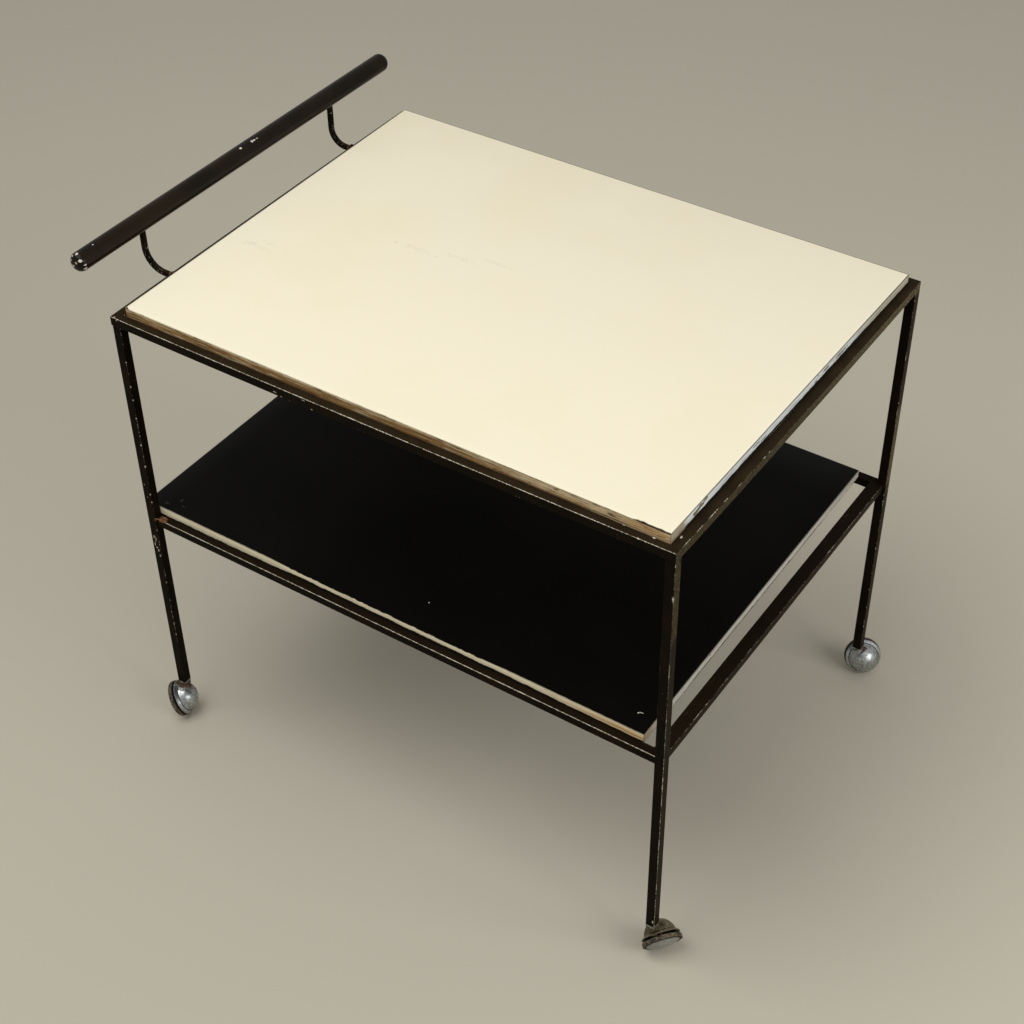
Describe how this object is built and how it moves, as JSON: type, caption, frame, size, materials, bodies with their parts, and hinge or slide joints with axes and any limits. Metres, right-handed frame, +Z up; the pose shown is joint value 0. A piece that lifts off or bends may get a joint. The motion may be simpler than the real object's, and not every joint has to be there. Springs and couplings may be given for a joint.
{
  "type": "tea trolley",
  "caption": "Two-tier tea trolley: thin square-tube frame, cream laminated top, black shelf, round push handle at one end and a ball castor under each leg.",
  "frame": {"origin": "centre of the whole trolley's bounding box at floor level", "axes": "+X along the long side away from the push handle, +Y to the back, +Z up"},
  "size_m": [0.8432, 0.6321, 0.7393],
  "materials": {
    "frame_paint": "satin black, worn at the edges",
    "top_laminate": "satin cream laminate",
    "shelf_laminate": "satin black laminate",
    "plywood": "bare cut plies",
    "edge_band": "matt pale grey",
    "screw_steel": "dull zinc",
    "bar_lacquer": "gloss black lacquer",
    "rod_paint": "worn black",
    "weld_steel": "rusty",
    "socket_zinc": "dull grey",
    "hood_metal": "worn polished metal",
    "castor_steel": "dull",
    "wheel_core": "matt",
    "tyre_rubber": "matt, dusty",
    "wheel_cap": "dull"
  },
  "bodies": {
    "frame": {"leg_front_left": "frame_paint", "leg_front_right": "frame_paint", "leg_back_right": "frame_paint", "leg_back_left": "frame_paint", "top_rail_front": "frame_paint", "top_rail_right": "frame_paint", "top_rail_back": "frame_paint", "top_rail_left": "frame_paint", "lower_rail_front": "frame_paint", "lower_rail_right": "frame_paint", "lower_rail_back": "frame_paint", "lower_rail_left": "frame_paint", "lower_end_strip_left": "frame_paint", "lower_end_strip_right": "frame_paint", "shelf_cross_bar": "frame_paint", "panel_fixing_tabs": "frame_paint", "top_panel_screws": "screw_steel", "top_panel_core": "plywood", "top_laminate": "top_laminate", "top_edge_band_left": "edge_band", "top_edge_band_right": "edge_band", "top_edge_band_back": "edge_band", "shelf_core": "plywood", "shelf_laminate": "shelf_laminate", "shelf_edge_band_left": "edge_band", "shelf_edge_band_right": "edge_band", "shelf_edge_band_back": "edge_band", "handle_bar": "bar_lacquer", "handle_rod_front": "rod_paint", "handle_rod_back": "rod_paint", "handle_rod_welds": "weld_steel", "castor_sockets": "socket_zinc"},
    "swivel_front_left": {"castor_hood_front_left": "hood_metal", "castor_stem_front_left": "castor_steel", "castor_axle_front_left": "castor_steel"},
    "wheel_front_left": {"castor_wheel_front_left": "wheel_core", "castor_tyre_front_left": "tyre_rubber", "castor_wheel_cap_front_left": "wheel_cap"},
    "swivel_front_right": {"castor_hood_front_right": "hood_metal", "castor_stem_front_right": "castor_steel", "castor_axle_front_right": "castor_steel"},
    "wheel_front_right": {"castor_wheel_front_right": "wheel_core", "castor_tyre_front_right": "tyre_rubber", "castor_wheel_cap_front_right": "wheel_cap"},
    "swivel_back_right": {"castor_hood_back_right": "hood_metal", "castor_stem_back_right": "castor_steel", "castor_axle_back_right": "castor_steel"},
    "wheel_back_right": {"castor_wheel_back_right": "wheel_core", "castor_tyre_back_right": "tyre_rubber", "castor_wheel_cap_back_right": "wheel_cap"},
    "swivel_back_left": {"castor_hood_back_left": "hood_metal", "castor_stem_back_left": "castor_steel", "castor_axle_back_left": "castor_steel"},
    "wheel_back_left": {"castor_wheel_back_left": "wheel_core", "castor_tyre_back_left": "tyre_rubber", "castor_wheel_cap_back_left": "wheel_cap"}
  },
  "joints": [
    {"name": "front_left_swivel", "type": "hinge", "parent": "frame", "child": "swivel_front_left", "pos_m": [-0.3604, -0.2793, 0.051], "axis": [0, 0, 1], "continuous": true},
    {"name": "front_left_wheel_spin", "type": "hinge", "parent": "swivel_front_left", "child": "wheel_front_left", "pos_m": [-0.36217, -0.29369, 0.0239], "axis": [0.7334, 0.5447, 0.4067], "continuous": true},
    {"name": "front_right_swivel", "type": "hinge", "parent": "frame", "child": "swivel_front_right", "pos_m": [0.3876, -0.2793, 0.051], "axis": [0, 0, 1], "continuous": true},
    {"name": "front_right_wheel_spin", "type": "hinge", "parent": "swivel_front_right", "child": "wheel_front_right", "pos_m": [0.40201, -0.27768, 0.0239], "axis": [-0.6998, 0.5872, 0.4067], "continuous": true},
    {"name": "back_right_swivel", "type": "hinge", "parent": "frame", "child": "swivel_back_right", "pos_m": [0.3876, 0.2837, 0.051], "axis": [0, 0, 1], "continuous": true},
    {"name": "back_right_wheel_spin", "type": "hinge", "parent": "swivel_back_right", "child": "wheel_back_right", "pos_m": [0.39071, 0.29786, 0.0239], "axis": [0.5108, -0.7574, 0.4067], "continuous": true},
    {"name": "back_left_swivel", "type": "hinge", "parent": "frame", "child": "swivel_back_left", "pos_m": [-0.3604, 0.2837, 0.051], "axis": [0, 0, 1], "continuous": true},
    {"name": "back_left_wheel_spin", "type": "hinge", "parent": "swivel_back_left", "child": "wheel_back_left", "pos_m": [-0.34597, 0.28512, 0.0239], "axis": [-0.5624, -0.7199, 0.4067], "continuous": true}
  ]
}
